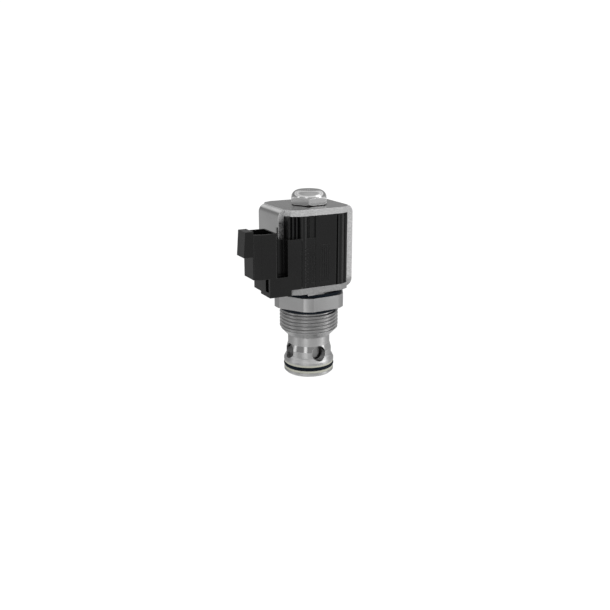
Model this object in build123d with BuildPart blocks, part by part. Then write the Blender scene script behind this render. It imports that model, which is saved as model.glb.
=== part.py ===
"""Solenoid cartridge valve, screw-in type, with a swivelling coil and a moulded two-pin connector.

Frame: the origin is on the valve axis in the sealing face under the hexagon. +Z runs up towards the
coil nut, X runs across the coil frame (the connector stands on the -X side) and -Y is the front of
the coil. All sizes are in millimetres.
"""
from build123d import *
import os
from math import cos, radians, sin, sqrt

os.makedirs("parts", exist_ok=True)

# ---- cartridge body ----
hex_across_flats = 38.0
hex_corner_d = 41.0            # corners turned down to this diameter
hex_height = 7.5
hex_turn = 62.2                # one corner of the hexagon points this far from +X
thread_major_r = 16.5          # M33 x 2
thread_pitch = 2.0
thread_depth = 1.15
thread_turns = 8
thread_root_half = 0.82        # half widths of the thread ridge at its root and crest
thread_crest_half = 0.125
thread_end_z = -17.6
thread_end_r = 12.5
thread_chamfer_z = -13.3
thread_runout = 1.1            # the helix starts this far above the relief
thread_lead = (0.7, 0.8)       # chamfer at the upper end of the thread
trim = 0.1                     # a cutter reaches this far past the face it cuts
collar_z = 1.0                 # relief cylinder runs up into the hexagon
relief_r = 14.7                # undercut that holds the body O-ring
seal_step_r = 17.6             # the underside is stepped back over the O-ring
seal_step = 0.15
relief_z = -2.7
body_cord = 2.6
seal_gap = 0.02                # gap between a seal and the face it seals on
base_thread_r = 11.4           # the tube base screws into the body
tube_base_z = -3.0
base_bore_r = 3.2
spigot_r = 10.6                # the cage screws into the body
spigot_top_z = -9.5

# ---- cage and nose ----
neck_r = 11.84
neck_end_z = -22.8
cage_r = 12.75
cage_start_z = -26.2
flare_z = -29.6
nose_r = 14.2
nose_top_z = -32.1
nose_bottom_z = -40.2
cage_bore_r = 9.0
port_z = -27.0
port_r = 4.2
port_angles = (0, 90, 180, 270)
groove_top_z = -33.3
groove_bottom_z = -37.9
groove_floor_r = 12.1
backup_thickness = 1.2
backup_gap = 0.3
flare_rise = (0.55, 0.7)       # hollow between the barrel and the nose collar
collar_break = (0.25, 0.45)
lower_land = 0.1               # the land below the groove is this much smaller
nose_break = (1.1, 1.1)
seat_lead = 0.6
seat_r = 10.2
seat_top_z = -33.4
seat_bore_r = 6.0
seat_cone = 1.0                # width and height of the cone the poppet closes on
seat_press = 0.02
seat_recess = 1.4              # the seat ring stands back from the end of the nose
ring_gap = 0.05

# ---- main poppet and pilot ----
poppet_r = 8.94
waist_r = 7.8
poppet_top_z = -11.0
poppet_ring_z = -14.5
poppet_nose = (1.0, 1.6)       # the poppet's tip enters the seat bore
poppet_shoulder = (0.2, 0.9)
poppet_taper = 0.8
poppet_groove = (1.0, 0.8)     # depth and half height of the glide ring's groove
waist_top_z = -18.0
waist_bottom_z = -31.6
spring_pocket_r = 6.2
pilot_seat_top_z = -20.0
pilot_seat_r = 2.6
pilot_seat_height = 3.0
pilot_hole_r = 0.7
drain_r = 1.6
orifice_z = -19.4
orifice_r = 0.45
spring_wire = 1.0
poppet_spring_r = 5.2

# ---- solenoid tube ----
tube_r = 9.4
tube_bore_r = 8.6
tube_top_z = 47.0
tube_oring_z = 2.2
tube_cord = 1.7
tube_groove_half = 1.0
base_neck_top_z = 13.0
armature_r = 8.54
armature_bottom_z = 14.0
armature_top_z = 34.0
armature_pocket_r = 3.2
armature_pocket_z = 27.0
armature_slot = 1.6
armature_spring_r = 2.4
magnet_gap = 2.5
pin_r = 1.5
pin_grip = 4.0                 # length of the pin inside the armature
pin_tip = 1.2
stud_r = 6.0                   # M12 stud for the coil nut
stud_top_z = 62.2
stud_fit = 0.06
stud_break = 0.8
pole_drop = 0.4                # the tube ends this far below the top of the frame

# ---- coil frame (yoke) ----
frame_x = -2.0                 # the tube stands 2 mm off the frame's centre
frame_width = 45.1
frame_bottom_z = 10.3
frame_top_z = 55.9
strip = 3.35
bend_r = 4.3
plate_depth = 24.5
tongue_root_x = 19.2
tongue_mid_x = 17.2
tongue_mid_y = 16.1
tongue_end_x = 12.55
tongue_y = 18.4
frame_hole_r = 9.75

# ---- winding ----
winding_r = 15.7
bobbin_core_r = 12.4
bobbin_flange_r = 15.9
bobbin_flange = 1.5
bobbin_bore_r = 9.6
bush_r = 11.2
bush_bore_r = 9.48
bush_length = 9.0
clear = 0.05                   # gap between pieces that stand still against each other

# ---- moulded coil body ----
cavity_r = 16.0
moulding_inset = 0.15
column_r = 2.5
column_x = (-11.95, 10.3)
column_proud = 0.1
corner_face_y = 14.6           # recessed faces outside the columns
rib_pitch = 2.4
rib_width = 0.9
rib_height = 1.6
rib_reach_x = 15.2             # no rib stands in front of the frame's right edge
groove_width = 0.7           # open groove on the inner side of each column
groove_depth = 1.4
window_depth = 0.8
pad_edge_x = -5.4
line_width = 0.3
line_depth = 0.3
plate_cover = 1.2
block_line = (0.45, 0.6)      # width and depth of the groove beside the block
block_left_x = -21.9
block_right_x = -13.5
block_front_y = -18.3
block_top_z = 40.75
tongue_cut_x = -19.8

# ---- connector ----
base_left_x = -32.4
base_step_x = -30.3
base_step_y = -6.5
base_back_y = 7.0
base_bottom_z = 10.8
base_top_z = 21.2
slot_y = (-16.7, -12.8)
slot_bottom_z = 13.4
slot_depth = 1.7
shroud_left_x, shroud_right_x = -40.9, -27.9
shroud_front_y, shroud_back_y = -18.3, -2.4
shroud_top_z = 44.9
shroud_wall = 0.9
shroud_floor_z = 24.2
shroud_chamfer = (4.0, 1.9)     # along X and along Y
shroud_fillet = 0.8
lug_y = (-16.2, -6.9)
lug_bottom = (-45.9, 33.3)
lug_top = (-44.9, 46.6)
lug_root = 0.5                 # the lug reaches into the shroud's wall
terminal_x = -34.6
terminal_y = (-12.65, -8.05)
terminal_r = 0.8
terminal_top_z = 38.5
terminal_foot_z = 21.9
terminal_drop_x = -28.2
terminal_lane_z = (18.0, 14.6)
terminal_lane_y = -15.3
terminal_end_x = -17.6

# ---- seals and nut ----
gasket_r = 18.6
gasket_top_z = 8.9
washer_r = 15.6
washer_tab = [(-9.5, -12.0), (-9.5, -17.4), (-0.6, -17.4), (2.2, -16.2), (2.2, -12.0)]
nut_across_flats = 19.0
nut_bottom_z = 56.25
nut_edge_z = 59.6
nut_dome_base = (9.45, 60.15)
nut_dome_side_z = 60.6
nut_top_z = 63.6
nut_foot = (1.0, 0.6)          # chamfer under the hexagon of the nut
nut_bore_end = 0.4
nut_turn = 62.2
nut_seal_r = 7.2
nut_cord = 1.3
dome_r = 5.0
dome_curve = 4.3
dimple_r = 0.7


def turned(points, mode=Mode.ADD):
    """Closed profile in the XZ half plane, turned about the valve axis."""
    with BuildSketch(Plane.XZ) as profile:
        with BuildLine():
            Polyline(*points, close=True)
        make_face()
    revolve(profile.sketch, axis=Axis.Z, mode=mode)


def ring(outer_r, inner_r, low_z, high_z, mode=Mode.ADD):
    turned([(inner_r, low_z), (outer_r, low_z), (outer_r, high_z), (inner_r, high_z)], mode)


def disc(radius, low_z, high_z, mode=Mode.ADD):
    with BuildSketch(Plane.XY.offset(low_z)) as profile:
        Circle(radius)
    extrude(profile.sketch, amount=high_z - low_z, mode=mode)


def slab(low, high, mode=Mode.ADD):
    """Box between two corners."""
    size = [b - a for a, b in zip(low, high)]
    middle = tuple((a + b) / 2 for a, b in zip(low, high))
    with Locations(middle):
        Box(*size, mode=mode)


def torus(centre_r, cord_r, z):
    with BuildSketch(Plane.XZ) as profile:
        with Locations((centre_r, z)):
            Circle(cord_r)
    revolve(profile.sketch, axis=Axis.Z)


def prism(points, low_z, high_z, mode=Mode.ADD):
    """Outline in plan, drawn up from low_z to high_z."""
    with BuildSketch(Plane.XY.offset(low_z)) as profile:
        with BuildLine():
            Polyline(*points, close=True)
        make_face()
    extrude(profile.sketch, amount=high_z - low_z, mode=mode)


def shroud_outline(wall):
    """Plan of the connector shroud, drawn in by a wall thickness, chamfered on its outer side."""
    x_from, x_to = shroud_left_x + wall, shroud_right_x - wall
    y_from, y_to = shroud_front_y + wall, shroud_back_y - wall
    along, across = shroud_chamfer
    return [
        (x_from, y_from + across),
        (x_from + along, y_from),
        (x_to, y_from),
        (x_to, y_to),
        (x_from + along, y_to),
        (x_from, y_to - across),
    ]


def finish(piece, name):
    piece.part.label = name
    export_step(piece.part, f"parts/{name}.step")


def coil_spring(name, mean_r, low_z, high_z, turns):
    """Compression spring standing between two seats."""
    free = high_z - low_z - spring_wire - 0.1
    with BuildPart() as spring:
        with BuildLine():
            path = Helix(
                pitch=free / turns,
                height=free,
                radius=mean_r,
                center=(0, 0, low_z + spring_wire / 2 + 0.05),
            )
        with BuildSketch(Plane(origin=path @ 0, z_dir=path % 0)):
            Circle(spring_wire / 2)
        sweep(path=path, is_frenet=True)
    finish(spring, name)


# ================= cartridge body =================
core_r = thread_major_r - thread_depth
with BuildPart() as thread:
    with BuildLine():
        helix = Helix(
            pitch=thread_pitch,
            height=thread_turns * thread_pitch,
            radius=core_r,
            center=(0, 0, relief_z + thread_runout - thread_turns * thread_pitch),
        )
    with BuildSketch(Plane(origin=helix @ 0, x_dir=(1, 0, 0), z_dir=helix % 0)):
        with BuildLine():
            Polyline(
                (-trim, -thread_root_half),
                (-trim, thread_root_half),
                (thread_depth, thread_crest_half),
                (thread_depth, -thread_crest_half),
                close=True,
            )
        make_face()
    sweep(path=helix, is_frenet=True)

with BuildPart() as hex_body:
    disc(core_r, thread_end_z - thread_pitch, relief_z + thread_pitch)
    add(thread.part)
    turned(
        [
            (0, thread_end_z),
            (thread_end_r, thread_end_z),
            (thread_major_r + trim, thread_chamfer_z),
            (thread_major_r + trim, relief_z - thread_lead[1]),
            (thread_major_r - thread_lead[0], relief_z),
            (0, relief_z),
        ],
        Mode.INTERSECT,
    )
    disc(relief_r, relief_z - 2 * trim, collar_z)
    with BuildSketch():
        RegularPolygon(hex_across_flats / sqrt(3), 6, rotation=hex_turn)
        Circle(hex_corner_d / 2, mode=Mode.INTERSECT)
    extrude(amount=hex_height)
    ring(seal_step_r, relief_r, 0, seal_step, Mode.SUBTRACT)
    disc(base_thread_r, tube_base_z, hex_height, Mode.SUBTRACT)
    disc(spigot_r, thread_end_z, spigot_top_z, Mode.SUBTRACT)
    disc(cage_bore_r, spigot_top_z, tube_base_z, Mode.SUBTRACT)
finish(hex_body, "hex_body")

with BuildPart() as body_oring:
    torus(relief_r + body_cord / 2, body_cord / 2, seal_step - body_cord / 2 - seal_gap)
finish(body_oring, "body_oring")

with BuildPart() as cage:
    turned(
        [
            (cage_bore_r, spigot_top_z),
            (spigot_r, spigot_top_z),
            (spigot_r, thread_end_z),
            (neck_r, thread_end_z),
            (neck_r, neck_end_z),
            (cage_r, cage_start_z),
            (cage_r, flare_z),
            (cage_r + flare_rise[0], flare_z - flare_rise[1]),
            (nose_r - collar_break[0], nose_top_z + collar_break[1]),
            (nose_r, nose_top_z),
            (nose_r, groove_top_z),
            (groove_floor_r, groove_top_z),
            (groove_floor_r, groove_bottom_z),
            (nose_r - lower_land, groove_bottom_z),
            (nose_r - lower_land, nose_bottom_z + nose_break[1]),
            (nose_r - lower_land - nose_break[0], nose_bottom_z),
            (seat_r - seat_lead, nose_bottom_z),
            (seat_r, nose_bottom_z + seat_lead),
            (seat_r, seat_top_z),
            (cage_bore_r, seat_top_z + seat_r - cage_bore_r),
        ]
    )
    with Locations(
        *[Plane(origin=(0, 0, port_z), z_dir=(cos(radians(a)), sin(radians(a)), 0)) for a in port_angles]
    ):
        Cylinder(port_r, cage_r + 2, align=(Align.CENTER, Align.CENTER, Align.MIN), mode=Mode.SUBTRACT)
finish(cage, "cage")

backup_r = nose_r - backup_gap
with BuildPart() as backup_ring_upper:
    ring(backup_r, groove_floor_r, groove_top_z - backup_thickness, groove_top_z)
finish(backup_ring_upper, "backup_ring_upper")

with BuildPart() as backup_ring_lower:
    ring(backup_r, groove_floor_r, groove_bottom_z, groove_bottom_z + backup_thickness)
finish(backup_ring_lower, "backup_ring_lower")

nose_cord_z = (groove_top_z + groove_bottom_z) / 2
nose_cord_r = (groove_top_z - groove_bottom_z) / 2 - backup_thickness
with BuildPart() as nose_oring:
    torus(groove_floor_r + nose_cord_r, nose_cord_r, nose_cord_z)
finish(nose_oring, "nose_oring")

with BuildPart() as seat_ring:
    turned(
        [
            (seat_bore_r, seat_top_z - seat_cone),
            (seat_bore_r, nose_bottom_z + seat_recess),
            (seat_r - seat_press, nose_bottom_z + seat_recess),
            (seat_r - seat_press, seat_top_z - ring_gap),
            (seat_bore_r + seat_cone, seat_top_z - ring_gap),
        ]
    )
finish(seat_ring, "seat_ring")

# ================= main poppet =================
cone_r = seat_bore_r + seat_cone
with BuildPart() as main_poppet:
    turned(
        [
            (0, seat_top_z - poppet_nose[1]),
            (seat_bore_r - poppet_nose[0], seat_top_z - poppet_nose[1]),
            (seat_bore_r - poppet_shoulder[0], seat_top_z - poppet_shoulder[1]),
            (cone_r - ring_gap, seat_top_z),
            (waist_r, waist_bottom_z),
            (waist_r, waist_top_z - poppet_taper),
            (poppet_r, waist_top_z),
            (poppet_r, poppet_ring_z - poppet_groove[1]),
            (poppet_r - poppet_groove[0], poppet_ring_z - poppet_groove[1]),
            (poppet_r - poppet_groove[0], poppet_ring_z + poppet_groove[1]),
            (poppet_r, poppet_ring_z + poppet_groove[1]),
            (poppet_r, poppet_top_z),
            (spring_pocket_r, poppet_top_z),
            (spring_pocket_r, pilot_seat_top_z),
            (0, pilot_seat_top_z),
        ]
    )
    disc(pilot_seat_r, pilot_seat_top_z - pilot_seat_height, pilot_seat_top_z, Mode.SUBTRACT)
    disc(drain_r, seat_top_z - 2, pilot_seat_top_z - pilot_seat_height + 1, Mode.SUBTRACT)
    with Locations(Plane(origin=(0, 0, orifice_z), z_dir=(0, -1, 0))):
        Cylinder(orifice_r, poppet_r + 1, align=(Align.CENTER, Align.CENTER, Align.MIN), mode=Mode.SUBTRACT)
finish(main_poppet, "main_poppet")

with BuildPart() as poppet_ring:
    ring(
        cage_bore_r - seal_gap,
        poppet_r - poppet_groove[0],
        poppet_ring_z - poppet_groove[1] + ring_gap,
        poppet_ring_z + poppet_groove[1] - ring_gap,
    )
finish(poppet_ring, "poppet_ring")

with BuildPart() as pilot_seat:
    ring(pilot_seat_r, pilot_hole_r, pilot_seat_top_z - pilot_seat_height, pilot_seat_top_z)
finish(pilot_seat, "pilot_seat")

coil_spring("poppet_spring", poppet_spring_r, pilot_seat_top_z, tube_base_z, 6)

# ================= solenoid tube =================
with BuildPart() as tube_base:
    turned(
        [
            (base_bore_r, tube_base_z),
            (base_thread_r, tube_base_z),
            (base_thread_r, tube_oring_z - tube_groove_half),
            (base_thread_r - tube_cord, tube_oring_z - tube_groove_half),
            (base_thread_r - tube_cord, tube_oring_z + tube_groove_half),
            (base_thread_r, tube_oring_z + tube_groove_half),
            (base_thread_r, hex_height),
            (tube_bore_r, hex_height),
            (tube_bore_r, base_neck_top_z),
            (base_bore_r, base_neck_top_z),
        ]
    )
finish(tube_base, "tube_base")

with BuildPart() as tube_oring:
    torus(base_thread_r - tube_cord / 2, tube_cord / 2, tube_oring_z)
finish(tube_oring, "tube_oring")

with BuildPart() as guide_tube:
    ring(tube_r, tube_bore_r, hex_height, tube_top_z)
finish(guide_tube, "guide_tube")

pole_face_z = armature_top_z + magnet_gap
with BuildPart() as pole_piece:
    turned(
        [
            (0, pole_face_z),
            (tube_bore_r, pole_face_z),
            (tube_bore_r, tube_top_z),
            (tube_r, tube_top_z),
            (tube_r, frame_top_z - pole_drop),
            (stud_r, frame_top_z - pole_drop),
            (stud_r, stud_top_z - stud_break),
            (stud_r - stud_break, stud_top_z),
            (0, stud_top_z),
        ]
    )
finish(pole_piece, "pole_piece")

with BuildPart() as armature:
    disc(armature_r, armature_bottom_z, armature_top_z)
    disc(armature_pocket_r, armature_pocket_z, armature_top_z, Mode.SUBTRACT)
    disc(pin_r, armature_bottom_z, armature_bottom_z + pin_grip, Mode.SUBTRACT)
    for side in (-1, 1):
        with Locations((side * armature_r, 0, (armature_bottom_z + armature_top_z) / 2)):
            Box(armature_slot, armature_slot, armature_top_z - armature_bottom_z, mode=Mode.SUBTRACT)
finish(armature, "armature")

with BuildPart() as pilot_pin:
    turned(
        [
            (0, pilot_seat_top_z + ring_gap),
            (pilot_hole_r, pilot_seat_top_z + ring_gap),
            (pin_r, pilot_seat_top_z + pin_tip),
            (pin_r, armature_bottom_z + pin_grip),
            (0, armature_bottom_z + pin_grip),
        ]
    )
finish(pilot_pin, "pilot_pin")

coil_spring("armature_spring", armature_spring_r, armature_pocket_z, pole_face_z, 5)

# ================= coil =================
left_x = frame_x - frame_width / 2
right_x = frame_x + frame_width / 2
quarter = [(tongue_root_x, plate_depth / 2), (tongue_mid_x, tongue_mid_y), (tongue_end_x, tongue_y)]
tongue_outline = (
    [(frame_x - x, -y) for x, y in quarter]
    + [(frame_x + x, -y) for x, y in reversed(quarter)]
    + [(frame_x + x, y) for x, y in quarter]
    + [(frame_x - x, y) for x, y in reversed(quarter)]
)

with BuildPart() as yoke:
    with BuildSketch(Plane.XZ.offset(-plate_depth / 2)):
        with Locations((frame_x, (frame_bottom_z + frame_top_z) / 2)):
            RectangleRounded(frame_width, frame_top_z - frame_bottom_z, bend_r)
            RectangleRounded(
                frame_width - 2 * strip,
                frame_top_z - frame_bottom_z - 2 * strip,
                bend_r - strip,
                mode=Mode.SUBTRACT,
            )
    extrude(amount=plate_depth)
    prism(tongue_outline, frame_bottom_z, frame_bottom_z + strip)
    prism(tongue_outline, frame_top_z - strip, frame_top_z)
    disc(frame_hole_r, frame_bottom_z - 1, frame_top_z + 1, Mode.SUBTRACT)
finish(yoke, "yoke")

low_z = frame_bottom_z + strip + clear
high_z = frame_top_z - strip - clear

with BuildPart() as lower_flux_bush:
    ring(bush_r, bush_bore_r, low_z, low_z + bush_length)
finish(lower_flux_bush, "lower_flux_bush")

with BuildPart() as upper_flux_bush:
    ring(bush_r, bush_bore_r, high_z - bush_length, high_z)
finish(upper_flux_bush, "upper_flux_bush")

with BuildPart() as bobbin:
    turned(
        [
            (bush_r + clear, low_z),
            (bobbin_flange_r, low_z),
            (bobbin_flange_r, low_z + bobbin_flange),
            (bobbin_core_r, low_z + bobbin_flange),
            (bobbin_core_r, high_z - bobbin_flange),
            (bobbin_flange_r, high_z - bobbin_flange),
            (bobbin_flange_r, high_z),
            (bush_r + clear, high_z),
            (bush_r + clear, high_z - bush_length - clear),
            (bobbin_bore_r, high_z - bush_length - clear),
            (bobbin_bore_r, low_z + bush_length + clear),
            (bush_r + clear, low_z + bush_length + clear),
        ]
    )
finish(bobbin, "bobbin")

with BuildPart() as winding:
    ring(winding_r, bobbin_core_r + clear, low_z + bobbin_flange + clear, high_z - bobbin_flange - clear)
finish(winding, "winding")

with BuildPart() as contact_pins:
    bar = 2 * terminal_r
    drop_x = terminal_drop_x - bar
    for y, lane_z in zip(terminal_y, terminal_lane_z):
        with BuildSketch(Plane.XY.offset(terminal_foot_z)):
            with Locations((terminal_x, y)):
                Circle(terminal_r)
        extrude(amount=terminal_top_z - terminal_foot_z)
        slab(
            (terminal_x - terminal_r, y - terminal_r, terminal_foot_z),
            (terminal_drop_x, y + terminal_r, terminal_foot_z + bar),
        )
        slab((drop_x, y - terminal_r, lane_z), (terminal_drop_x, y + terminal_r, terminal_foot_z + bar))
        slab((drop_x, terminal_lane_y - terminal_r, lane_z), (terminal_drop_x, y + terminal_r, lane_z + bar))
        slab(
            (drop_x, terminal_lane_y - terminal_r, lane_z),
            (terminal_end_x, terminal_lane_y + terminal_r, lane_z + bar),
        )
finish(contact_pins, "contact_pins")

# ---- moulded coil body with the connector ----
half_outline = [
    (tongue_root_x - moulding_inset, plate_depth / 2 - moulding_inset),
    (tongue_mid_x - moulding_inset, tongue_mid_y - moulding_inset),
    (tongue_end_x, tongue_y - moulding_inset),
]
moulding_outline = (
    [(frame_x - x, -y) for x, y in half_outline]
    + [(frame_x + x, -y) for x, y in reversed(half_outline)]
    + [(frame_x + x, y) for x, y in half_outline]
    + [(frame_x - x, y) for x, y in reversed(half_outline)]
)
face_y = tongue_y - moulding_inset
plate_front_y = -plate_depth / 2 - clear
plate_left_x = left_x - clear
corner_spans = (
    (frame_x - tongue_root_x, column_x[0] - column_r),
    (column_x[1] + column_r, frame_x + tongue_root_x),
)

with BuildPart() as coil_moulding:
    prism(moulding_outline, low_z, high_z)
    for side in (-1, 1):
        recess = sorted((side * (face_y + 1), side * corner_face_y))
        for x_from, x_to in corner_spans:
            slab((x_from - 1, recess[0], low_z), (x_to + 1, recess[1], high_z), Mode.SUBTRACT)
            ribs = round((x_to - x_from) / rib_pitch)
            for i in range(ribs):
                x = x_from + (i + 0.5) * (x_to - x_from) / ribs
                if x + rib_width / 2 > rib_reach_x:
                    continue
                rib = sorted((side * (corner_face_y + rib_height), side * (corner_face_y - 1)))
                slab((x - rib_width / 2, rib[0], low_z), (x + rib_width / 2, rib[1], high_z))
        for x in column_x:
            reach = column_r + groove_width
            groove = sorted((side * (face_y + 1), side * (face_y - groove_depth)))
            slab((x - reach, groove[0], low_z), (x + reach, groove[1], high_z), Mode.SUBTRACT)
            with BuildSketch(Plane.XY.offset(low_z)):
                with Locations((x, side * (face_y - column_r + column_proud))):
                    Circle(column_r)
            extrude(amount=high_z - low_z)
    disc(cavity_r, low_z, high_z, Mode.SUBTRACT)
    # window beside the left column and the fine line below it
    slab(
        (column_x[0] + column_r + groove_width / 2, -face_y - 1, block_top_z),
        (pad_edge_x, -face_y + window_depth, high_z),
        Mode.SUBTRACT,
    )
    slab((block_right_x - 1, -face_y, low_z), (pad_edge_x - line_width - 1, -cavity_r, block_top_z))
    slab(
        (pad_edge_x - line_width, -face_y - 1, low_z),
        (pad_edge_x, -face_y + line_depth, block_top_z),
        Mode.SUBTRACT,
    )
    # block in front of the frame, wall over the frame's front edge, and connector base
    slab((block_left_x, block_front_y, base_bottom_z), (block_right_x, plate_front_y, block_top_z))
    slab(
        (plate_left_x, plate_front_y - plate_cover, base_bottom_z),
        (block_left_x, plate_front_y, block_top_z),
    )
    slab(
        (plate_left_x - plate_cover, plate_front_y - plate_cover, base_bottom_z),
        (plate_left_x, base_step_y, block_top_z),
    )
    slab((base_left_x, block_front_y, base_bottom_z), (plate_left_x, base_step_y, base_top_z))
    slab((base_step_x, base_step_y, base_bottom_z), (plate_left_x, base_back_y, base_top_z))
    slab((plate_left_x, block_front_y, base_bottom_z), (block_left_x, plate_front_y, base_top_z))
    slab((tongue_cut_x, block_front_y - 1, base_bottom_z - 1), (block_right_x + 1, 0, low_z), Mode.SUBTRACT)
    slab(
        (block_right_x - block_line[0], block_front_y - 1, low_z + 1),
        (block_right_x, block_front_y + block_line[1], block_top_z - 1),
        Mode.SUBTRACT,
    )
    slab(
        (base_left_x - 1, slot_y[0], slot_bottom_z),
        (base_left_x + slot_depth, slot_y[1], base_top_z),
        Mode.SUBTRACT,
    )
    # connector shroud with its latch lug
    with BuildSketch(Plane.XY.offset(base_top_z)) as shroud:
        with BuildLine():
            Polyline(*shroud_outline(0), close=True)
        make_face()
        fillet(shroud.vertices(), shroud_fillet)
    extrude(amount=shroud_top_z - base_top_z)
    with BuildSketch(Plane.XZ.offset(-lug_y[0])):
        with BuildLine():
            Polyline(
                (shroud_left_x + lug_root, lug_bottom[1]),
                lug_bottom,
                lug_top,
                (shroud_left_x + lug_root, lug_top[1]),
                close=True,
            )
        make_face()
    extrude(amount=lug_y[0] - lug_y[1])
    prism(shroud_outline(shroud_wall), shroud_floor_z, lug_top[1] + 1, Mode.SUBTRACT)
    add(contact_pins.part, mode=Mode.SUBTRACT)
    add(yoke.part, mode=Mode.SUBTRACT)
finish(coil_moulding, "coil_moulding")

# ================= seals, washer and coil nut =================
with BuildPart() as coil_gasket:
    ring(gasket_r, tube_r + clear, hex_height, gasket_top_z)
finish(coil_gasket, "coil_gasket")

with BuildPart() as flux_washer:
    ring(washer_r, frame_hole_r, gasket_top_z + clear, frame_bottom_z)
    prism(washer_tab, gasket_top_z + clear, frame_bottom_z)
finish(flux_washer, "flux_washer")

with BuildPart() as nut_oring:
    torus(nut_seal_r, nut_cord / 2, frame_top_z + nut_cord / 2 + clear)
finish(nut_oring, "nut_oring")

nut_corner_r = nut_across_flats / sqrt(3)
with BuildPart() as coil_nut:
    with BuildSketch(Plane.XY.offset(nut_bottom_z)):
        RegularPolygon(nut_corner_r, 6, rotation=nut_turn)
    extrude(amount=nut_top_z - nut_bottom_z)
    with BuildSketch(Plane.XZ):
        with BuildLine():
            Polyline(
                (0, nut_top_z),
                (0, nut_bottom_z),
                (nut_corner_r - nut_foot[0], nut_bottom_z),
                (nut_corner_r, nut_bottom_z + nut_foot[1]),
                (nut_corner_r, nut_edge_z),
                nut_dome_base,
                (nut_dome_base[0], nut_dome_side_z),
            )
            RadiusArc((nut_dome_base[0], nut_dome_side_z), (dome_r, nut_top_z), -dome_curve)
            Line((dome_r, nut_top_z), (0, nut_top_z))
        make_face()
    revolve(axis=Axis.Z, mode=Mode.INTERSECT)
    disc(stud_r + stud_fit, nut_bottom_z, stud_top_z + nut_bore_end, Mode.SUBTRACT)
    disc(nut_seal_r + nut_cord / 2 + clear, nut_bottom_z, frame_top_z + nut_cord + 2 * clear, Mode.SUBTRACT)
    with Locations((0, 0, nut_top_z)):
        Cone(0, dimple_r, dimple_r, align=(Align.CENTER, Align.CENTER, Align.MAX), mode=Mode.SUBTRACT)
finish(coil_nut, "coil_nut")
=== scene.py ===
"""Looks of the solenoid cartridge valve: finishes, moulded details, studio and camera.

Everything is in metres, on the CAD frame: +Z up the valve axis, -X towards the connector and -Y the
front of the coil.
"""
from math import cos, pi, radians, sin

import bmesh
import bpy
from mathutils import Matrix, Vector


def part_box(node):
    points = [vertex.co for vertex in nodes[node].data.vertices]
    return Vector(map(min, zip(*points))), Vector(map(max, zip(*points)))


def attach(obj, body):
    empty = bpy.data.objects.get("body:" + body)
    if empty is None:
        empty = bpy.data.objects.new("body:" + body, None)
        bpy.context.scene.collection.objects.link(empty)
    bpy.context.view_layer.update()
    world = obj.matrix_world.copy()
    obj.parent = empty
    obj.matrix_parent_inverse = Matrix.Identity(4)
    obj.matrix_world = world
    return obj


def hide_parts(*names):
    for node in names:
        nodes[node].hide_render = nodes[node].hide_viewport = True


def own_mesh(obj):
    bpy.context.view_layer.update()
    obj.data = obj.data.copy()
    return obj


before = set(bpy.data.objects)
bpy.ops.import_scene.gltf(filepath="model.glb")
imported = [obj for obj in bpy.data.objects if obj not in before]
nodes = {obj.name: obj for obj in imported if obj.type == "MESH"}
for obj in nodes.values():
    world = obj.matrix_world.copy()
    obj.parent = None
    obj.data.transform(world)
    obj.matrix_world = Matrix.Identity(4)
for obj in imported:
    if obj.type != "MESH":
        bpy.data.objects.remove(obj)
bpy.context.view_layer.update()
MM = 0.001

# sizes that the pieces and finishes share
strip_thickness = 3.35 * MM          # strip of the coil frame
torn_fade = 0.6 * MM                 # how softly a change along a torn edge starts
shoulder_low = 14.0 * MM             # polished shoulder of the cage, above the end of the nose
shoulder_high = 17.4 * MM
coil_front_y = -18.25 * MM           # front face of the coil moulding, and the back face opposite
raised_root = 0.05 * MM              # raised details start this far inside the face


# ================= node helpers =================
def wire(tree, socket, value):
    """Joins an output to a socket, or sets the socket's own value."""
    if isinstance(value, bpy.types.NodeSocket):
        tree.links.new(value, socket)
    elif value is not None:
        socket.default_value = value


def math_node(tree, operation, a, b=None, clamp=False):
    node = tree.nodes.new("ShaderNodeMath")
    node.operation = operation
    node.use_clamp = clamp
    wire(tree, node.inputs[0], a)
    wire(tree, node.inputs[1], b)
    return node.outputs[0]


def vector_node(tree, operation, a, b=None):
    node = tree.nodes.new("ShaderNodeVectorMath")
    node.operation = operation
    wire(tree, node.inputs[0], a)
    wire(tree, node.inputs[1], b)
    return node.outputs["Value" if operation in ("DOT_PRODUCT", "LENGTH") else "Vector"]


def spread(tree, value, low, high, to_low=0.0, to_high=1.0, smooth=False):
    """Map range with clamping."""
    node = tree.nodes.new("ShaderNodeMapRange")
    node.interpolation_type = "SMOOTHSTEP" if smooth else "LINEAR"
    for socket, number in zip(node.inputs, (value, low, high, to_low, to_high)):
        wire(tree, socket, number)
    return node.outputs["Result"]


def noise(tree, coordinate, scale, detail=3.0, roughness=0.5):
    node = tree.nodes.new("ShaderNodeTexNoise")
    wire(tree, node.inputs["Vector"], coordinate)
    wire(tree, node.inputs["Scale"], scale)
    node.inputs["Detail"].default_value = detail
    node.inputs["Roughness"].default_value = roughness
    return node.outputs["Fac"]


def blend_colour(tree, factor, low, high):
    node = tree.nodes.new("ShaderNodeMix")
    node.data_type = "RGBA"
    wire(tree, node.inputs["Factor"], factor)
    for name, value in (("A", low), ("B", high)):
        socket = [s for s in node.inputs if s.name == name and s.type == "RGBA"][0]
        wire(tree, socket, value)
    return [s for s in node.outputs if s.type == "RGBA"][0]


def bump(tree, height, distance, normal=None, strength=1.0):
    node = tree.nodes.new("ShaderNodeBump")
    node.inputs["Strength"].default_value = strength
    node.inputs["Distance"].default_value = distance
    wire(tree, node.inputs["Height"], height)
    wire(tree, node.inputs["Normal"], normal)
    return node.outputs["Normal"]


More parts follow.
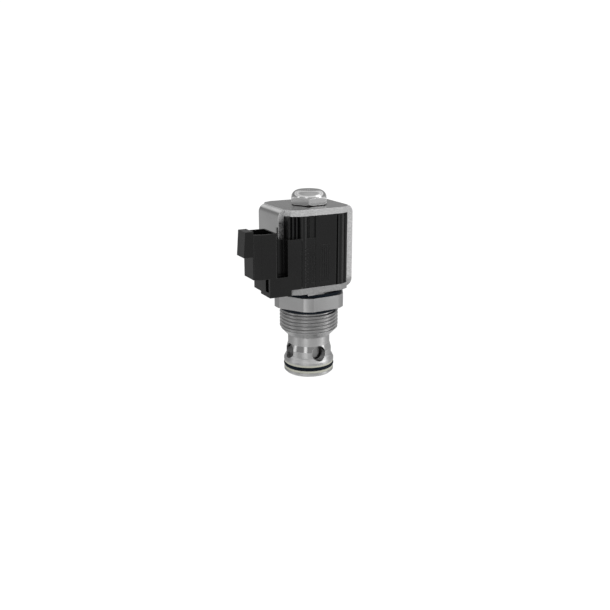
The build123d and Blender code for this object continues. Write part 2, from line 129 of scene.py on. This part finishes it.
def new_group(name, inputs, outputs):
    """Empty shader group with float inputs (name, default) and outputs (name, kind)."""
    tree = bpy.data.node_groups.new(name, "ShaderNodeTree")
    for label, value in inputs:
        socket = tree.interface.new_socket(label, in_out="INPUT", socket_type="NodeSocketFloat")
        socket.default_value = value
    for label, kind in outputs:
        tree.interface.new_socket(label, in_out="OUTPUT", socket_type=f"NodeSocket{kind}")
    source = tree.nodes.new("NodeGroupInput")
    sink = tree.nodes.new("NodeGroupOutput")
    return tree, source.outputs, sink.inputs


def place(tree, group, **values):
    """One use of a group in a material, with this material's own values."""
    node = tree.nodes.new("ShaderNodeGroup")
    node.node_tree = group
    for label, value in values.items():
        wire(tree, node.inputs[label.replace("_", " ")], value)
    return node.outputs


# ================= shared effects =================
def make_soft_edges():
    """Rounded edge normal, and a mask that is 1 where an edge is worn."""
    tree, given, out = new_group(
        "soft_edges", [("Radius", 0.0002), ("Wear", 1.0)], [("Normal", "Vector"), ("Worn", "Float")]
    )
    rounded = tree.nodes.new("ShaderNodeBevel")
    rounded.samples = 12
    wire(tree, rounded.inputs["Radius"], given["Radius"])
    flat = tree.nodes.new("ShaderNodeNewGeometry").outputs["Normal"]
    alignment = vector_node(tree, "DOT_PRODUCT", rounded.outputs[0], flat)
    turn = math_node(tree, "SUBTRACT", 1.0, alignment)
    point = tree.nodes.new("ShaderNodeTexCoord").outputs["Object"]
    patchy = spread(tree, noise(tree, point, 900.0, 4.0, 0.6), 0.35, 0.7, 0.25, 1.0)
    worn = math_node(tree, "MULTIPLY", spread(tree, turn, 0.01, 0.16), patchy)
    wire(tree, out["Normal"], rounded.outputs[0])
    wire(tree, out["Worn"], math_node(tree, "MULTIPLY", worn, given["Wear"], clamp=True))
    return tree


def make_turning_marks():
    """Fine rings left by a lathe round the valve axis, on barrels and on end faces alike."""
    tree, given, out = new_group(
        "turning_marks", [("Pitch", 0.0002)], [("Height", "Float"), ("Shade", "Float")]
    )
    point = tree.nodes.new("ShaderNodeTexCoord").outputs["Object"]
    parts = tree.nodes.new("ShaderNodeSeparateXYZ")
    wire(tree, parts.inputs[0], point)
    flat = vector_node(tree, "MULTIPLY", point, (1.0, 1.0, 0.0))
    radius = vector_node(tree, "LENGTH", flat)
    along = math_node(tree, "ADD", parts.outputs["Z"], radius)
    step = math_node(tree, "DIVIDE", along, given["Pitch"])
    rings = tree.nodes.new("ShaderNodeTexNoise")
    rings.noise_dimensions = "1D"
    rings.inputs["Scale"].default_value = 1.0
    rings.inputs["Detail"].default_value = 4.0
    wire(tree, rings.inputs["W"], step)
    drift = noise(tree, point, 60.0, 3.0)
    wire(tree, out["Height"], rings.outputs["Fac"])
    banded = math_node(tree, "ADD", rings.outputs["Fac"], drift)
    wire(tree, out["Shade"], spread(tree, banded, 0.7, 1.3))
    return tree


def make_moulded_grain():
    """Spark eroded texture of a plastic mould, with faint flow shading."""
    tree, given, out = new_group(
        "moulded_grain", [("Size", 0.00025)], [("Height", "Float"), ("Shade", "Float")]
    )
    point = tree.nodes.new("ShaderNodeTexCoord").outputs["Object"]
    scale = math_node(tree, "DIVIDE", 1.0, given["Size"])
    fine = noise(tree, point, scale, 2.0, 0.6)
    pits = tree.nodes.new("ShaderNodeTexVoronoi")
    pits.feature = "SMOOTH_F1"
    wire(tree, pits.inputs["Vector"], point)
    wire(tree, pits.inputs["Scale"], math_node(tree, "MULTIPLY", scale, 0.55))
    flow = noise(tree, point, 45.0, 3.0)
    height = math_node(tree, "ADD", fine, math_node(tree, "MULTIPLY", pits.outputs["Distance"], 0.7))
    wire(tree, out["Height"], height)
    wire(tree, out["Shade"], spread(tree, flow, 0.3, 0.7))
    return tree


def make_sheared_edge():
    """Torn, speckled strip edge left by the blanking die; the rolled faces stay smooth."""
    tree, given, out = new_group(
        "sheared_edge", [("Size", 0.0006)], [("Mask", "Float"), ("Speckle", "Float")]
    )
    coordinate = tree.nodes.new("ShaderNodeTexCoord")
    parts = tree.nodes.new("ShaderNodeSeparateXYZ")
    wire(tree, parts.inputs[0], coordinate.outputs["Normal"])
    facing = math_node(tree, "ABSOLUTE", parts.outputs["Y"])
    scale = math_node(tree, "DIVIDE", 1.0, given["Size"])
    grains = noise(tree, coordinate.outputs["Object"], scale, 3.0, 0.7)
    wire(tree, out["Mask"], spread(tree, facing, 0.15, 0.35))
    wire(tree, out["Speckle"], spread(tree, grains, 0.34, 0.66))
    return tree


def make_handling_marks():
    """Soft patches where the plating is duller, and a few fine scratches."""
    tree, given, out = new_group(
        "handling_marks", [("Amount", 1.0)], [("Dull", "Float"), ("Scratch", "Float")]
    )
    point = tree.nodes.new("ShaderNodeTexCoord").outputs["Object"]
    patches = spread(tree, noise(tree, point, 70.0, 5.0, 0.6), 0.38, 0.66)
    stretched = vector_node(tree, "MULTIPLY", point, (900.0, 140.0, 2600.0))
    lines = spread(tree, noise(tree, stretched, 1.0, 2.0), 0.6, 0.72)
    wire(tree, out["Dull"], math_node(tree, "MULTIPLY", patches, given["Amount"]))
    wire(tree, out["Scratch"], math_node(tree, "MULTIPLY", lines, given["Amount"]))
    return tree


def make_hollow_shade_and_film():
    """Painted shade that gathers in corners and hollows: ambient occlusion broken up by noise. The
    nylon finishes use it only to raise roughness, as a thin film.
    """
    tree, given, out = new_group("hollow_shade_and_film", [("Reach", 0.002)], [("Shade_And_Film", "Float")])
    hollow = tree.nodes.new("ShaderNodeAmbientOcclusion")
    hollow.samples = 8
    wire(tree, hollow.inputs["Distance"], given["Reach"])
    point = tree.nodes.new("ShaderNodeTexCoord").outputs["Object"]
    uneven = spread(tree, noise(tree, point, 350.0, 4.0), 0.3, 0.75, 0.4, 1.0)
    closed = math_node(tree, "SUBTRACT", 1.0, hollow.outputs["AO"], clamp=True)
    wire(tree, out["Shade_And_Film"], math_node(tree, "MULTIPLY", closed, uneven, clamp=True))
    return tree


soft_edges = make_soft_edges()
turning_marks = make_turning_marks()
moulded_grain = make_moulded_grain()
sheared_edge = make_sheared_edge()
handling_marks = make_handling_marks()
hollow_shade_and_film = make_hollow_shade_and_film()


# ================= finishes =================
def new_finish(name, metallic=0.0, **sockets):
    """Material with one Principled shader; constants go on the shader's own sockets."""
    material = bpy.data.materials.new(name)
    material.use_nodes = True
    tree = material.node_tree
    tree.nodes.clear()
    shader = tree.nodes.new("ShaderNodeBsdfPrincipled")
    result = tree.nodes.new("ShaderNodeOutputMaterial")
    tree.links.new(shader.outputs[0], result.inputs["Surface"])
    shader.inputs["Metallic"].default_value = metallic
    for label, value in sockets.items():
        shader.inputs[label.replace("_", " ")].default_value = value
    return material, tree, shader.inputs


def grey(value, warm=0.0):
    return (value * (1 + warm), value, value * (1 - warm), 1.0)


def turned_metal(name, dark, light, rough, pitch, depth, edge=0.0002, wear=0.5, polished=None):
    """Steel turned on a lathe. Between the two heights of polished it is ground brighter."""
    material, tree, shader = new_finish(name, 1.0)
    edges = place(tree, soft_edges, Radius=edge, Wear=wear)
    rings = place(tree, turning_marks, Pitch=pitch)
    marks = place(tree, handling_marks, Amount=1.0)
    shade_and_film = place(tree, hollow_shade_and_film, Reach=2.5 * MM)
    base = blend_colour(tree, rings["Shade"], dark, light)
    # painted shade: the steel is darkened in corners and hollows
    base = blend_colour(tree, math_node(tree, "MULTIPLY", shade_and_film["Shade_And_Film"], 0.45), base, grey(0.16))
    base = blend_colour(tree, edges["Worn"], base, grey(0.82))
    wire(tree, shader["Base Color"], base)
    gloss = spread(tree, rings["Shade"], 0.0, 1.0, rough + 0.06, rough - 0.03)
    gloss = math_node(tree, "ADD", gloss, math_node(tree, "MULTIPLY", marks["Dull"], 0.1))
    if polished:
        point = tree.nodes.new("ShaderNodeSeparateXYZ")
        wire(tree, point.inputs[0], tree.nodes.new("ShaderNodeTexCoord").outputs["Object"])
        above = spread(tree, point.outputs["Z"], polished[0], polished[0] + 0.1 * MM)
        below = spread(tree, point.outputs["Z"], polished[1] - 0.1 * MM, polished[1], 1.0, 0.0)
        band = math_node(tree, "MULTIPLY", above, below)
        keep = spread(tree, band, 0.0, 1.0, 1.0, 0.4)
        gloss = math_node(tree, "MULTIPLY", gloss, keep)
    wire(tree, shader["Roughness"], gloss)
    wire(tree, shader["Normal"], bump(tree, rings["Height"], depth, edges["Normal"], 0.6))
    return material


def plated_strip():
    """Zinc plated strip of the coil frame: smooth faces, speckled sheared edges."""
    material, tree, shader = new_finish("plated_strip", 1.0)
    edges = place(tree, soft_edges, Radius=0.25 * MM, Wear=0.35)
    shear = place(tree, sheared_edge, Size=0.5 * MM)
    marks = place(tree, handling_marks, Amount=1.0)
    shade_and_film = place(tree, hollow_shade_and_film, Reach=2.0 * MM)
    faces = blend_colour(tree, marks["Dull"], grey(0.66), grey(0.6))
    torn = blend_colour(tree, shear["Speckle"], grey(0.5), grey(0.86))
    # near black speckle for the painted shade on the torn edge beside the connector
    shaded_edge_colour = blend_colour(tree, shear["Speckle"], grey(0.03), grey(0.34))
    low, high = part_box("yoke")
    position = tree.nodes.new("ShaderNodeSeparateXYZ")
    wire(tree, position.inputs[0], tree.nodes.new("ShaderNodeTexCoord").outputs["Object"])
    x, y, z = position.outputs
    # the lower plate's torn edge is a darker grey than the others
    lower = spread(tree, z, low.z + 3.5 * MM, low.z + 6.0 * MM, 0.5, 0.0)
    torn = blend_colour(tree, lower, torn, grey(0.16))
    # painted shade and a painted dark reflection on the side plate's torn edge beside the connector
    inner_side = low.x + strip_thickness + 0.25 * MM
    beside = spread(tree, x, low.x, low.x + torn_fade)
    inner = spread(tree, x, inner_side, inner_side + torn_fade, 1.0, 0.0)
    below_bend = spread(tree, z, high.z - 7.0 * MM, high.z - 4.0 * MM, 1.0, 0.0)
    in_front = spread(tree, y, -2.0 * MM, 2.0 * MM, 1.0, 0.0)
    edge_shade = math_node(tree, "MULTIPLY", math_node(tree, "MULTIPLY", beside, inner), below_bend)
    edge_shade = math_node(tree, "MULTIPLY", edge_shade, in_front)
    torn = blend_colour(tree, edge_shade, torn, shaded_edge_colour)
    base = blend_colour(tree, shear["Mask"], faces, torn)
    # painted shade: the plating is darkened in corners and hollows
    base = blend_colour(tree, math_node(tree, "MULTIPLY", shade_and_film["Shade_And_Film"], 0.35), base, grey(0.2))
    base = blend_colour(tree, edges["Worn"], base, grey(0.85))
    wire(tree, shader["Base Color"], base)
    smooth = spread(tree, marks["Dull"], 0.0, 1.0, 0.1, 0.17)
    rough = math_node(tree, "ADD", smooth, math_node(tree, "MULTIPLY", shear["Mask"], 0.28))
    rough = math_node(tree, "ADD", rough, math_node(tree, "MULTIPLY", marks["Scratch"], 0.08))
    wire(tree, shader["Roughness"], rough)
    height = math_node(tree, "MULTIPLY", shear["Speckle"], shear["Mask"])
    wire(tree, shader["Normal"], bump(tree, height, 0.04 * MM, edges["Normal"], 0.6))
    return material


def bright_plate():
    """Polished plating of the coil nut."""
    material, tree, shader = new_finish("bright_plate", 1.0)
    edges = place(tree, soft_edges, Radius=0.3 * MM, Wear=0.4)
    marks = place(tree, handling_marks, Amount=1.0)
    rings = place(tree, turning_marks, Pitch=0.12 * MM)
    base = blend_colour(tree, marks["Dull"], grey(0.74), grey(0.64))
    base = blend_colour(tree, edges["Worn"], base, grey(0.9))
    wire(tree, shader["Base Color"], base)
    rough = spread(tree, marks["Dull"], 0.0, 1.0, 0.12, 0.2)
    rough = math_node(tree, "ADD", rough, math_node(tree, "MULTIPLY", marks["Scratch"], 0.08))
    wire(tree, shader["Roughness"], rough)
    wire(tree, shader["Normal"], bump(tree, rings["Height"], 0.002 * MM, edges["Normal"], 0.4))
    return material


def milled_hexagon():
    """Hexagon bar with drawn flats above a rolled thread."""
    material, tree, shader = new_finish("milled_hexagon", 1.0)
    edges = place(tree, soft_edges, Radius=0.3 * MM, Wear=0.6)
    rings = place(tree, turning_marks, Pitch=0.25 * MM)
    marks = place(tree, handling_marks, Amount=1.0)
    shade_and_film = place(tree, hollow_shade_and_film, Reach=1.6 * MM)
    base = blend_colour(tree, rings["Shade"], grey(0.44), grey(0.52))
    # painted shade: the hexagon is darkened in corners and hollows
    base = blend_colour(tree, math_node(tree, "MULTIPLY", shade_and_film["Shade_And_Film"], 0.15), base, grey(0.2))
    base = blend_colour(tree, edges["Worn"], base, grey(0.75))
    wire(tree, shader["Base Color"], base)
    rough = spread(tree, marks["Dull"], 0.0, 1.0, 0.3, 0.4)
    wire(tree, shader["Roughness"], math_node(
        tree, "ADD", rough, math_node(tree, "MULTIPLY", marks["Scratch"], 0.1)))
    wire(tree, shader["Normal"], bump(tree, rings["Height"], 0.004 * MM, edges["Normal"], 0.5))
    return material


def moulded_plastic(name, low, high, rough, size, depth, edge, lift, gloss_level=0.5):
    """Glass filled nylon as it leaves the mould."""
    material, tree, shader = new_finish(name, 0.0, IOR=1.5, Specular_IOR_Level=gloss_level)
    edges = place(tree, soft_edges, Radius=edge, Wear=1.0)
    grain = place(tree, moulded_grain, Size=size)
    shade_and_film = place(tree, hollow_shade_and_film, Reach=1.5 * MM)
    base = blend_colour(tree, grain["Shade"], low, high)
    base = blend_colour(tree, math_node(tree, "MULTIPLY", edges["Worn"], 0.5), base, lift)
    wire(tree, shader["Base Color"], base)
    gloss = spread(tree, grain["Shade"], 0.0, 1.0, rough - 0.04, rough + 0.04)
    wire(tree, shader["Roughness"], math_node(
        tree, "ADD", gloss, math_node(tree, "MULTIPLY", shade_and_film["Shade_And_Film"], 0.15), clamp=True))
    wire(tree, shader["Normal"], bump(tree, grain["Height"], depth, edges["Normal"], 0.5))
    return material


def seal_rubber():
    """Nitrile rubber: near black with a cold sheen and a fine moulded grain; its faint mould line is
    not drawn.
    """
    material, tree, shader = new_finish("seal_rubber", 0.0, IOR=1.5, Specular_IOR_Level=0.12)
    grain = place(tree, moulded_grain, Size=0.18 * MM)
    shade_and_film = place(tree, hollow_shade_and_film, Reach=0.8 * MM)
    base = blend_colour(tree, grain["Shade"], (0.002, 0.005, 0.011, 1), (0.003, 0.008, 0.016, 1))
    # painted shade: the rubber is darkened in corners and hollows
    shade_and_film_amount = math_node(tree, "MULTIPLY", shade_and_film["Shade_And_Film"], 0.5)
    base = blend_colour(tree, shade_and_film_amount, base, (0.001, 0.002, 0.004, 1))
    wire(tree, shader["Base Color"], base)
    wire(tree, shader["Roughness"], spread(tree, grain["Shade"], 0.0, 1.0, 0.4, 0.5))
    wire(tree, shader["Normal"], bump(tree, grain["Height"], 0.01 * MM, None, 0.4))
    return material


def wound_copper():
    """Enamelled wire laid in turns round the bobbin."""
    material, tree, shader = new_finish("wound_copper", 1.0, Coat_Weight=0.6, Coat_Roughness=0.15)
    rings = place(tree, turning_marks, Pitch=0.5 * MM)
    shade_and_film = place(tree, hollow_shade_and_film, Reach=1.0 * MM)
    base = blend_colour(tree, rings["Shade"], (0.42, 0.15, 0.07, 1), (0.8, 0.36, 0.2, 1))
    # painted shade: the winding is darkened in corners and hollows
    base = blend_colour(tree, shade_and_film["Shade_And_Film"], base, (0.15, 0.05, 0.03, 1))
    wire(tree, shader["Base Color"], base)
    wire(tree, shader["Roughness"], spread(tree, rings["Shade"], 0.0, 1.0, 0.4, 0.25))
    wire(tree, shader["Normal"], bump(tree, rings["Height"], 0.05 * MM))
    return material


body_steel = turned_metal("body_steel", grey(0.52), grey(0.62), 0.3, 0.3 * MM, 0.004 * MM)
finish_of = {
    "hex_body": milled_hexagon(),
    "cage": turned_metal(
        "cage_steel", grey(0.52), grey(0.6), 0.32, 0.3 * MM, 0.004 * MM,
        polished=(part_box("cage")[0].z + shoulder_low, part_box("cage")[0].z + shoulder_high),
    ),
    "tube_base": body_steel,
    "pole_piece": body_steel,
    "armature": body_steel,
    "guide_tube": turned_metal("drawn_tube", grey(0.58), grey(0.66), 0.22, 0.6 * MM, 0.002 * MM),
    "yoke": plated_strip(),
    "coil_nut": bright_plate(),
    "winding": wound_copper(),
    "coil_moulding": moulded_plastic(
        "black_nylon", grey(0.002), grey(0.0035),
        0.27, 0.22 * MM, 0.007 * MM, 0.35 * MM, grey(0.04), 0.42,
    ),
    "bobbin": moulded_plastic(
        "bobbin_nylon", grey(0.10, 0.04), grey(0.13, 0.04),
        0.45, 0.3 * MM, 0.01 * MM, 0.2 * MM, grey(0.2),
    ),
    "contact_pins": turned_metal(
        "tin_plate", grey(0.66, 0.02), grey(0.78, 0.02), 0.24, 0.3 * MM, 0.001 * MM
    ),
}
hardened = turned_metal("hardened_steel", grey(0.36), grey(0.46), 0.24, 0.2 * MM, 0.002 * MM)
for name in ("seat_ring", "main_poppet", "pilot_seat", "pilot_pin"):
    finish_of[name] = hardened
spring_wire = turned_metal(
    "spring_wire", grey(0.34), grey(0.46), 0.32, 0.4 * MM, 0.002 * MM, 0.05 * MM
)
for name in ("poppet_spring", "armature_spring"):
    finish_of[name] = spring_wire
rubber = seal_rubber()
for name in ("body_oring", "nose_oring", "tube_oring", "nut_oring", "coil_gasket"):
    finish_of[name] = rubber
cream = moulded_plastic(
    "cream_ptfe", (0.6, 0.6, 0.52, 1), (0.68, 0.68, 0.58, 1), 0.45, 0.3 * MM, 0.004 * MM, 0.1 * MM,
    (0.75, 0.75, 0.68, 1),
)
for name in ("backup_ring_upper", "backup_ring_lower", "poppet_ring"):
    finish_of[name] = cream
flux_plate = turned_metal("flux_plate", grey(0.5), grey(0.6), 0.34, 0.3 * MM, 0.004 * MM)
for name in ("lower_flux_bush", "upper_flux_bush", "flux_washer"):
    finish_of[name] = flux_plate

for name, node in nodes.items():
    node.data.materials.clear()
    node.data.materials.append(finish_of[name])
    for polygon in node.data.polygons:
        polygon.material_index = 0


# ================= raised details of the moulding =================
def new_piece(name, bm, body, material):
    """Turns a finished bmesh into a piece that rides on a body."""
    bmesh.ops.recalc_face_normals(bm, faces=bm.faces)
    mesh = bpy.data.meshes.new(name)
    bm.to_mesh(mesh)
    bm.free()
    mesh.materials.append(material)
    piece = bpy.data.objects.new(name, mesh)
    bpy.context.scene.collection.objects.link(piece)
    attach(piece, body)
    return piece


def raised_bar(bm, start, end, width, height, face_y, out):
    """Bar with sloping sides standing on a face square to Y, between two (x, z) points."""
    along = Vector((end[0] - start[0], end[1] - start[1])).normalized()
    across = Vector((-along.y, along.x))
    foot, crest = [], []
    for point, way in ((start, -1), (end, 1)):
        for side in (-1, 1):
            for ring, half, pull in ((foot, width / 2, 0.0), (crest, width / 3, width / 6)):
                x, z = Vector(point) + across * side * half - along * way * pull
                y = face_y - out * raised_root if ring is foot else face_y + out * height
                ring.append(bm.verts.new((x, y, z)))
    for ring in (foot, crest):
        bm.faces.new((ring[0], ring[1], ring[3], ring[2]))
    for a, b in ((0, 1), (1, 3), (3, 2), (2, 0)):
        bm.faces.new((foot[a], foot[b], crest[b], crest[a]))


def make_grip_chevrons(face_y):
    """Column of small plain chevrons beside the connector block."""
    bm = bmesh.new()
    count, low_z, step = 10, 16.4 * MM, 2.0 * MM
    left_x, middle_x, right_x = -12.3 * MM, -11.0 * MM, -9.7 * MM
    for i in range(count):
        z = low_z + i * step
        for x_from, x_to in ((left_x, middle_x), (right_x, middle_x)):
            raised_bar(bm, (x_from, z), (x_to, z + 0.8 * MM), 0.36 * MM, 0.2 * MM, face_y, -1)
    return new_piece("grip_chevrons", bm, "coil", finish_of["coil_moulding"])


def make_label_field(name, low, high, face_y, out, bars):
    """Blank raised frame with plain bars, where a maker would put the rating."""
    bm = bmesh.new()
    width, height = 0.32 * MM, 0.18 * MM
    (x0, z0), (x1, z1) = low, high
    for start, end in (
        ((x0, z0), (x1, z0)), ((x1, z0), (x1, z1)), ((x1, z1), (x0, z1)), ((x0, z1), (x0, z0)),
    ):
        raised_bar(bm, start, end, width, height, face_y, out)
    for i in range(bars):
        x = x0 + (i + 1) * (x1 - x0) / (bars + 1)
        inset = (1.2 + 0.9 * (i % 2)) * MM
        raised_bar(bm, (x, z0 + inset), (x, z1 - inset), width, height, face_y, out)
    return new_piece(name, bm, "coil", finish_of["coil_moulding"])


def make_ejector_marks(face_y):
    """Shallow rings left by the mould's ejector pins on the back of the coil."""
    bm = bmesh.new()
    segments, radius, width, height = 40, 1.6 * MM, 0.22 * MM, 0.1 * MM
    for x in (-6.5 * MM, 3.5 * MM):
        for z in (19.0 * MM, 46.0 * MM):
            loops = []
            for r, y in (
                (radius - width, face_y - raised_root), (radius - width * 0.7, face_y + height),
                (radius - width * 0.3, face_y + height), (radius, face_y - raised_root),
            ):
                angles = [2 * pi * i / segments for i in range(segments)]
                loops.append([bm.verts.new((x + r * cos(a), y, z + r * sin(a))) for a in angles])
            for k in range(4):
                inner, outer = loops[k], loops[(k + 1) % 4]
                for i in range(segments):
                    j = (i + 1) % segments
                    bm.faces.new((inner[i], inner[j], outer[j], outer[i]))
    piece = new_piece("ejector_marks", bm, "coil", finish_of["coil_moulding"])
    for polygon in piece.data.polygons:
        polygon.use_smooth = True
    return piece


make_grip_chevrons(coil_front_y)
make_label_field(
    "label_field_narrow", (-8.6 * MM, 16.4 * MM), (-6.2 * MM, 36.4 * MM), coil_front_y, -1, 1
)
make_label_field(
    "label_field_wide", (-2.6 * MM, 16.0 * MM), (2.8 * MM, 36.6 * MM), coil_front_y, -1, 3
)
make_label_field(
    "label_field_back", (-7.0 * MM, 24.0 * MM), (4.0 * MM, 41.0 * MM), -coil_front_y, 1, 0
)
make_ejector_marks(-coil_front_y)


# ================= springs =================
def make_spring(node, turns, wire_d):
    """Compression spring with closed ends, a fixed coil riding on the cartridge body."""
    low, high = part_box(node)
    mean_r = (high.x - low.x - wire_d) / 2
    start, end = low.z + wire_d / 2, high.z - wire_d / 2
    steps, sides, closed = 28, 12, 0.75
    count = int(turns * steps)
    closed_rise = wire_d * 1.02

    def height(turn):
        """The end turns lie close, the ones between share the rest of the length."""
        if turn < closed:
            return start + closed_rise * turn
        if turn > turns - closed:
            return end - closed_rise * (turns - turn)
        share = (turn - closed) / (turns - 2 * closed)
        return start + closed_rise * closed + share * (end - start - 2 * closed_rise * closed)

    bm = bmesh.new()
    loops = []
    for i in range(count + 1):
        turn = i * turns / count
        angle = 2 * pi * turn
        loop = []
        for k in range(sides):
            around = 2 * pi * k / sides
            r = mean_r + wire_d / 2 * cos(around)
            loop.append(bm.verts.new((
                r * cos(angle), r * sin(angle), height(turn) + wire_d / 2 * sin(around)
            )))
        loops.append(loop)
    for a, b in zip(loops, loops[1:]):
        for k in range(sides):
            j = (k + 1) % sides
            bm.faces.new((a[k], a[j], b[j], b[k]))
    bm.faces.new(loops[0])
    bm.faces.new(list(reversed(loops[-1])))
    spring = new_piece(node + "_coil", bm, "cartridge", finish_of[node])
    for polygon in spring.data.polygons:
        polygon.use_smooth = len(polygon.vertices) == 4
    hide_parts(node)
    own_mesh(spring)
    return spring


make_spring("poppet_spring", 7, 1.0 * MM)
make_spring("armature_spring", 6, 1.0 * MM)


# ================= studio =================
def area_light(name, place_at, size, power, target=(0, 0, 0.02)):
    light = bpy.data.lights.new(name, "AREA")
    light.shape = "RECTANGLE"
    light.size, light.size_y = size
    light.energy = power
    lamp = bpy.data.objects.new(name, light)
    lamp.location = place_at
    lamp.rotation_euler = (Vector(target) - lamp.location).to_track_quat("-Z", "Y").to_euler()
    bpy.context.scene.collection.objects.link(lamp)
    return lamp


def make_floor():
    """Plain pale floor, well below the valve, so that its shadow is lost in the light."""
    mesh = bpy.data.meshes.new("floor")
    reach, level = 0.9, -0.6
    around = ((-1, -1), (1, -1), (1, 1), (-1, 1))
    corners = [(reach * side_x, reach * side_y, level) for side_x, side_y in around]
    mesh.from_pydata(corners, [], [(0, 1, 2, 3)])
    floor = bpy.data.objects.new("floor", mesh)
    bpy.context.scene.collection.objects.link(floor)
    material, tree, shader = new_finish("pale_floor", 0.0, Roughness=0.9)
    shader["Base Color"].default_value = (0.9, 0.9, 0.9, 1)
    shader["Emission Color"].default_value = (1, 1, 1, 1)
    seen = tree.nodes.new("ShaderNodeLightPath").outputs["Is Camera Ray"]
    wire(tree, shader["Emission Strength"], spread(tree, seen, 0.0, 1.0, 0.05, 0.8))
    mesh.materials.append(material)


def make_sky():
    """Even white behind the valve; what lights it is a softer studio, brighter at the front right.

    Two bright bands, at about 27 and 40 degrees above the horizon, draw the lines on bends and dome.
    """
    world = bpy.data.worlds.new("studio")
    bpy.context.scene.world = world
    world.use_nodes = True
    tree = world.node_tree
    tree.nodes.clear()
    way = tree.nodes.new("ShaderNodeTexCoord").outputs["Generated"]
    parts = tree.nodes.new("ShaderNodeSeparateXYZ")
    wire(tree, parts.inputs[0], way)
    ramp = tree.nodes.new("ShaderNodeValToRGB")
    stops = (
        (0.0, 0.36), (0.4, 0.42), (0.5, 0.4), (0.6, 0.27), (0.67, 0.25), (0.73, 1.0), (0.78, 0.5),
        (0.82, 0.95), (0.9, 0.42), (1.0, 0.5),
    )
    elements = ramp.color_ramp.elements
    while len(elements) < len(stops):
        elements.new(0.5)
    for element, (position, level) in zip(elements, stops):
        element.position = position
        element.color = grey(level)
    wire(tree, ramp.inputs["Fac"], spread(tree, parts.outputs["Z"], -1.0, 1.0))
    side = vector_node(tree, "DOT_PRODUCT", way, (0.55, -0.83, 0.0))
    lit = tree.nodes.new("ShaderNodeBackground")
    wire(tree, lit.inputs["Color"], ramp.outputs["Color"])
    wire(tree, lit.inputs["Strength"], spread(tree, side, -0.6, 1.0, 0.95, 1.3))
    plain = tree.nodes.new("ShaderNodeBackground")
    plain.inputs["Color"].default_value = (1, 1, 1, 1)
    plain.inputs["Strength"].default_value = 1.05
    seen = tree.nodes.new("ShaderNodeLightPath").outputs["Is Camera Ray"]
    mix = tree.nodes.new("ShaderNodeMixShader")
    wire(tree, mix.inputs["Fac"], seen)
    tree.links.new(lit.outputs[0], mix.inputs[1])
    tree.links.new(plain.outputs[0], mix.inputs[2])
    output = tree.nodes.new("ShaderNodeOutputWorld")
    tree.links.new(mix.outputs[0], output.inputs["Surface"])


make_floor()
make_sky()
area_light("front_right", (0.9, -0.9, 0.75), (0.8, 0.8), 2.0)
area_light("strip_front_left", (-0.83, -0.87, 0.05), (0.32, 1.2), 1.15)
area_light("strip_left", (-1.17, 0.245, 0.05), (0.32, 1.2), 0.95)
area_light("strip_right", (0.98, -0.72, 0.05), (0.34, 1.3), 1.8)
bpy.context.scene.view_settings.view_transform = "Standard"

# ================= camera =================
lens = bpy.data.cameras.new("camera")
lens.lens = 45.605
lens.sensor_width = 36.0
lens.clip_start, lens.clip_end = 0.01, 50.0
camera = bpy.data.objects.new("camera", lens)
camera.location = (-0.195912, -0.371892, 0.120602)
camera.rotation_euler = (radians(90 - 16.228), 0.0, radians(-27.492))
bpy.context.scene.collection.objects.link(camera)
bpy.context.scene.camera = camera
